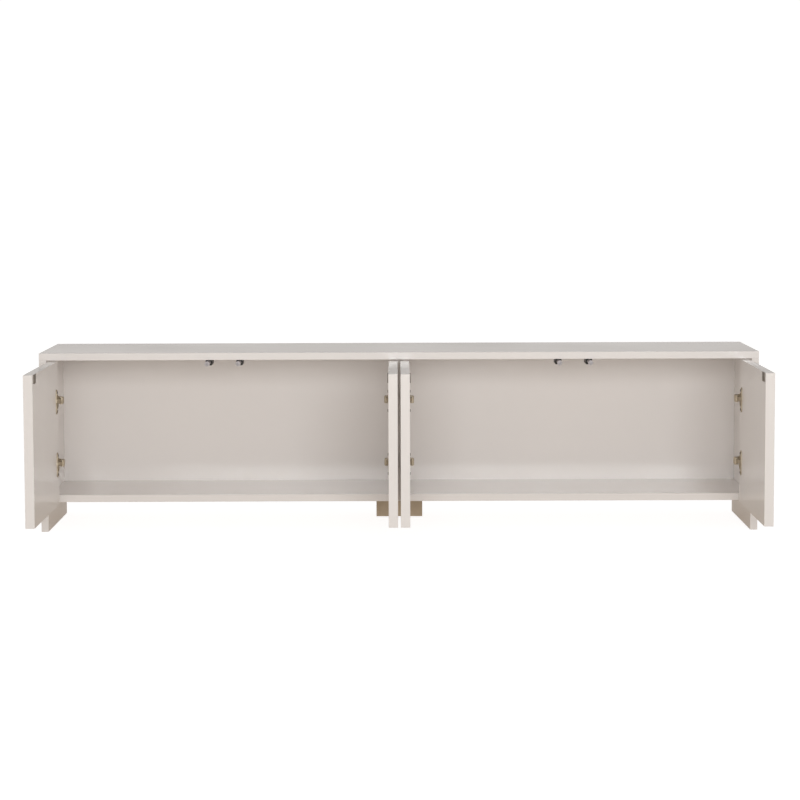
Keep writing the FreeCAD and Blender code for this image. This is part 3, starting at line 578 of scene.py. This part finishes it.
# Hinge cups: drawn steel cups with a rolled rim and two flange wings, pressed into the doors' inner
# faces and nickel plated. The flange is softly rounded all along, and the inside of the cup is darker.
CUP_LINE, CUP_RADIUS, CUP_RIM, CUP_DEPTH = -12.0, 17.45, 19.0, 12.5
WING_LINE, WING_HALF, WING_RUN = -9.5, 8.5, 22.5
FLANGE_THICK, CUP_FLOOR, CUP_MOUTH = 2.0, 1.0, 16.7
NOTCH_HALF, NOTCH_IN, NOTCH_DEPTH = 5.5, 11.0, 7.0
FLANGE_EDGE, BOWL_EDGE = 0.9, 1.2
CUP_AROUND, TINY = 128, 1e-6


def flange_rim():
    """Distance from the cup axis along each angle: the largest of the round rim, and the far sides of the
    wings' stadium, a rectangle with a disc at each end."""
    out = circle(CUP_AROUND)
    reach = np.full(CUP_AROUND, CUP_RIM)
    for end in (-WING_RUN, WING_RUN):
        ahead = out @ (WING_LINE, end)
        inside = ahead ** 2 - (WING_LINE ** 2 + end ** 2) + WING_HALF ** 2
        disc = ahead + np.sqrt(np.maximum(inside, 0))
        reach = np.maximum(reach, np.where((inside > 0) & (ahead > 0), disc, 0))
    towards, beside = np.maximum(-out[:, 0], TINY), np.maximum(np.abs(out[:, 1]), TINY)
    far = np.minimum((WING_HALF - WING_LINE) / towards, WING_RUN / beside)
    near = (-WING_LINE - WING_HALF) / towards
    reach = np.maximum(reach, np.where((out[:, 0] < 0) & (far > near), far, 0))
    return out * reach[:, None]


def cup_shape(site, height):
    """A profile carried round the flange's outline: outside of the bowl, flange, rolled lip, inside of the
    bowl; the rim is lowered where the link passes."""
    face, top = site.inner, site.inner + FLANGE_THICK
    floor = face - CUP_DEPTH
    outside = [(0, 0, floor), (0, CUP_RADIUS - BOWL_EDGE, floor), (0, CUP_RADIUS, floor + BOWL_EDGE),
               (0, CUP_RADIUS, face)]
    flange = [(1, 0, face)] + soft_wall(face, top, FLANGE_EDGE)[ROUND_STEPS:] + [(0, CUP_MOUTH + 1.4, top)]
    lip = [(0, CUP_MOUTH + 0.9, top), (0, CUP_MOUTH + 0.3, top - 0.25), (0, CUP_MOUTH, top - 0.9)]
    bowl = floor + CUP_FLOOR
    inside = [(0, CUP_MOUTH, bowl + 1.5), (0, CUP_MOUTH - 0.5, bowl + 0.4), (0, CUP_MOUTH - 1.5, bowl),
              (0, 0, bowl)]
    grid = carried(outside + flange + lip + inside, flange_rim())
    passing = (np.abs(grid[..., 1]) < NOTCH_HALF) & (grid[..., 0] > NOTCH_IN)
    rest = np.where(np.hypot(grid[..., 0], grid[..., 1]) > CUP_RADIUS + 0.01, face - 0.1, face - NOTCH_DEPTH)
    grid[..., 2] = np.where(passing, np.minimum(grid[..., 2], rest), grid[..., 2])
    return [stand(grid, "u", (0, CUP_LINE, height))]


# Hinge links: bowed pressed plates on the arm's pin, whose rolled end lies in the cup. They turn with
# the door, and are nickel plated like the arms.
LINK_CHORD, LINK_SAGITTA, LINK_SHEET, LINK_WIDTH = 17.5, 3.0, 2.5, 10.0
EYE_RADIUS, EYE_BORE, EYE_EDGE, END_RADIUS, END_EDGE, PLATE_EDGE = 3.0, 1.55, 0.3, 1.8, 0.4, 0.6
LINK_ANGLE = math.radians(242)


def link_shape(site, height):
    """A plate on an arc of radius (chord^2 / 4 + sagitta^2) / (2 sagitta), an eye at one end and a round
    bead at the other."""
    radius = (LINK_CHORD ** 2 / 4 + LINK_SAGITTA ** 2) / (2 * LINK_SAGITTA)
    half_angle = 2 * math.atan(2 * LINK_SAGITTA / LINK_CHORD)
    ahead = np.array([math.cos(LINK_ANGLE), math.sin(LINK_ANGLE)])
    aside = np.array([ahead[1], -ahead[0]])
    eye_place = np.array([LINK_IN, LINK_DEEP])
    middle = eye_place + ahead * LINK_CHORD / 2 + aside * (radius - LINK_SAGITTA)
    centre_angle = math.atan2(-aside[1], -aside[0])
    along = centre_angle + np.linspace(-half_angle, half_angle, 17)[:, None]
    section = rounded(LINK_SHEET, LINK_WIDTH, PLATE_EDGE, count=16)[None]
    reach = radius + section[..., 0] + np.zeros_like(along)
    plate = np.stack([middle[0] + reach * np.cos(along), middle[1] + reach * np.sin(along),
                      np.broadcast_to(height + section[..., 1], reach.shape)], axis=2)
    half = LINK_WIDTH / 2
    eye = carried([(0, EYE_BORE, -half), (0, EYE_RADIUS - EYE_EDGE, -half), (0, EYE_RADIUS, -half + EYE_EDGE),
                   (0, EYE_RADIUS, half - EYE_EDGE), (0, EYE_RADIUS - EYE_EDGE, half), (0, EYE_BORE, half),
                   (0, EYE_BORE, -half)], count=32)
    bead_place = eye_place + ahead * LINK_CHORD
    bead_wall = soft_wall(-half, half, END_EDGE, 0, END_RADIUS)
    bead = carried([(0, 0, -half)] + bead_wall + [(0, 0, half)], count=24)
    return [skin(plate, lids=True), stand(eye, "z", (*eye_place, height)),
            stand(bead, "z", (*bead_place, height))]


CUP_SCREW_SPACING, CUP_SCREW_LENGTH = 48.0, 12.0


def cup_screw_shape(site, height):
    """A wood screw in each wing of the flange."""
    return [screw(site.inner - CUP_SCREW_LENGTH, site.inner + FLANGE_THICK, "u",
                  (0, CUP_LINE + WING_LINE, height + side * CUP_SCREW_SPACING / 2)) for side in (-1, 1)]


for site in sites:
    leaf = site.name + "_leaf"
    assemble(site.name + "_drawn_cups", for_hinges(cup_shape, [site]), nickel, leaf,
             [site.name + "_hinge_cups"])
    assemble(site.name + "_bowed_links", for_hinges(link_shape, [site]), nickel, site.name + "_link_pair",
             [site.name + "_hinge_links"])
    assemble(site.name + "_flange_screws", for_hinges(cup_screw_shape, [site]), screw_steel, leaf,
             [site.name + "_cup_screws"])

# Doors: solid fibreboard leaves with the same lacquer on all faces. Near each free edge, under the top,
# a galvanised strike plate with soft corners and one flush screw meets the push latch.
strike_zinc = mottled("dull_galvanised_steel", "#8d857b", "#7c746b", 6, 0.7, 0.04, (0.5, 0.62), Metallic=0.6)
STRIKE_CORNER, STRIKE_EDGE = 1.6, 0.5
FLUSH_HEAD, FLUSH_HEIGHT, SUNK = 3.0, 1.0, 0.9
for site in sites:
    coat(site.name + "_door", lacquer)
    low, high = (np.array(corner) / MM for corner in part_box(site.name + "_strike_plate"))
    middle, size = (low + high) / 2, high - low
    strike_line = middle[1] - front_y / MM
    strike = block(rounded(size[1], size[2], STRIKE_CORNER), site.inner, site.inner + size[0], STRIKE_EDGE)
    points, faces = skin(stand(strike, "u", (0, strike_line, middle[2])))
    assemble(site.name + "_strike_pressing", [(site.world(points), faces)], strike_zinc, site.name + "_leaf",
             [site.name + "_strike_plate"])
    points, faces = skin(screw(site.inner - CUP_SCREW_LENGTH, site.inner + size[0] - SUNK, "u",
                               (0, strike_line, middle[2]), head=FLUSH_HEAD, height=FLUSH_HEIGHT))
    assemble(site.name + "_strike_cross_screw", [(site.world(points), faces)], screw_steel,
             site.name + "_leaf", [site.name + "_strike_screw"])


# Push latches: black ABS housings moulded with soft edges, a collar round the plunger and a screw tab
# behind, under the top. Each has a grey ABS plunger with a round tip and a plated disc magnet in it.
black_abs = mottled("moulded_black_abs", "#161514", "#100f0f", 9, 0.35, 0.05, (0.42, 0.52))
grey_abs = mottled("moulded_grey_abs", "#c9c4c5", "#bdb8b9", 6, 0.35, 0.04, (0.45, 0.55))
magnet_plate = mottled("plated_magnet", "#a5a0a1", "#939092", 2, 0.3, 0.02, (0.45, 0.6), Metallic=0.6)
PLUNGER_RADIUS, BORE_RADIUS, BORE_WALL = 5.0, 5.05, 4.0
TIP_RADIUS, TIP_LENGTH, MAGNET_RADIUS, MAGNET_LENGTH, POCKET_RADIUS = 6.4, 5.0, 4.0, 3.0, 4.03
TAB_LENGTH, TAB_THICKNESS, TAB_MARGIN = 22.0, 3.0, 5.5
COLLAR_RADIUS, COLLAR_LENGTH = 6.9, 1.2
SCREW_IN_TOP = 12.0
HOOD_FRONT, HOOD_THICK, HOOD_CORNER, HOOD_EDGE = front_y / MM + 24.5, 1.9, 1.5, 0.4
CASE_CORNER, CASE_EDGE, TAB_CORNER, TAB_EDGE, LAP = 1.6, 0.9, 3.0, 0.5, 2.0
COLLAR_EDGE, TIP_EDGE, MAGNET_EDGE, MAGNET_SUNK, ROD_EDGE = 0.4, 1.6, 0.3, 0.2, 0.6
latch_fixings = []
for name in SITES:
    low, high = (np.array(corner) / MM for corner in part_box(name + "_latch_housing"))
    rod_low, rod_high = (np.array(corner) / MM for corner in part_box(name + "_latch_plunger"))
    across, axis_level = (low[0] + high[0]) / 2, (rod_low[2] + rod_high[2]) / 2
    case_end = high[1] - TAB_LENGTH
    width, collar_front = high[0] - low[0], low[1] - COLLAR_LENGTH
    case_middle = (low[2] + high[2]) / 2 - axis_level
    case = rounded(width, high[2] - low[2], CASE_CORNER, (0, case_middle), count=64)
    bore = [(0, 0, case_end - BORE_WALL), (0, BORE_RADIUS, case_end - BORE_WALL),
            (0, BORE_RADIUS, collar_front), (0, COLLAR_RADIUS - COLLAR_EDGE, collar_front),
            (0, COLLAR_RADIUS, collar_front + COLLAR_EDGE),
            (0, COLLAR_RADIUS, low[1])]
    hood_rim = rounded(width, low[1] - HOOD_FRONT + LAP, HOOD_CORNER)
    hood = block(hood_rim, high[2] - HOOD_THICK, high[2], HOOD_EDGE)
    shell = carried(bore + soft_wall(low[1], case_end, CASE_EDGE) + [(0, 0, case_end)], case)
    tab_rim = rounded(width, TAB_LENGTH + LAP, TAB_CORNER)
    tab = block(tab_rim, high[2] - TAB_THICKNESS, high[2], TAB_EDGE)
    housing = [skin(stand(shell, "v", (across, 0, axis_level))),
               skin(stand(tab, "z", (across, high[1] - (TAB_LENGTH + LAP) / 2, 0))),
               skin(stand(hood, "z", (across, (low[1] + HOOD_FRONT + LAP) / 2, 0)))]
    assemble(name + "_moulded_latch", [(points * MM, faces) for points, faces in housing], black_abs,
             "carcass", [name + "_latch_housing"])
    for y in (high[1] - TAB_MARGIN, case_end + TAB_MARGIN):
        points, faces = skin(screw(high[2] + SCREW_IN_TOP, high[2] - TAB_THICKNESS, "z", (across, y, 0)))
        latch_fixings.append((points * MM, faces))
    front = rod_low[1]
    tip = soft_wall(front, front + TIP_LENGTH, TIP_EDGE, 0, TIP_RADIUS)
    steps = [(0, 0, front + MAGNET_LENGTH), (0, POCKET_RADIUS, front + MAGNET_LENGTH),
             (0, POCKET_RADIUS, front + MAGNET_SUNK), (0, MAGNET_RADIUS + MAGNET_EDGE, front)]
    steps += tip + [(0, PLUNGER_RADIUS, front + TIP_LENGTH), (0, PLUNGER_RADIUS, rod_high[1] - ROD_EDGE),
                    (0, PLUNGER_RADIUS - ROD_EDGE, rod_high[1]), (0, 0, rod_high[1])]
    points, faces = skin(stand(carried(steps), "v", (across, 0, axis_level)))
    assemble(name + "_latch_rod", [(points * MM, faces)], grey_abs, name + "_push_rod",
             [name + "_latch_plunger"])
    disc = [(0, 0, front + MAGNET_SUNK)]
    disc += soft_wall(front + MAGNET_SUNK, front + MAGNET_LENGTH, MAGNET_EDGE, 0, MAGNET_RADIUS)
    points, faces = skin(stand(carried(disc + [(0, 0, front + MAGNET_LENGTH)]), "v", (across, 0, axis_level)))
    assemble(name + "_disc_magnet", [(points * MM, faces)], magnet_plate, name + "_push_rod",
             [name + "_latch_magnet"])
assemble("latch_cross_screws", latch_fixings, screw_steel, "carcass", ["latch_screws"])
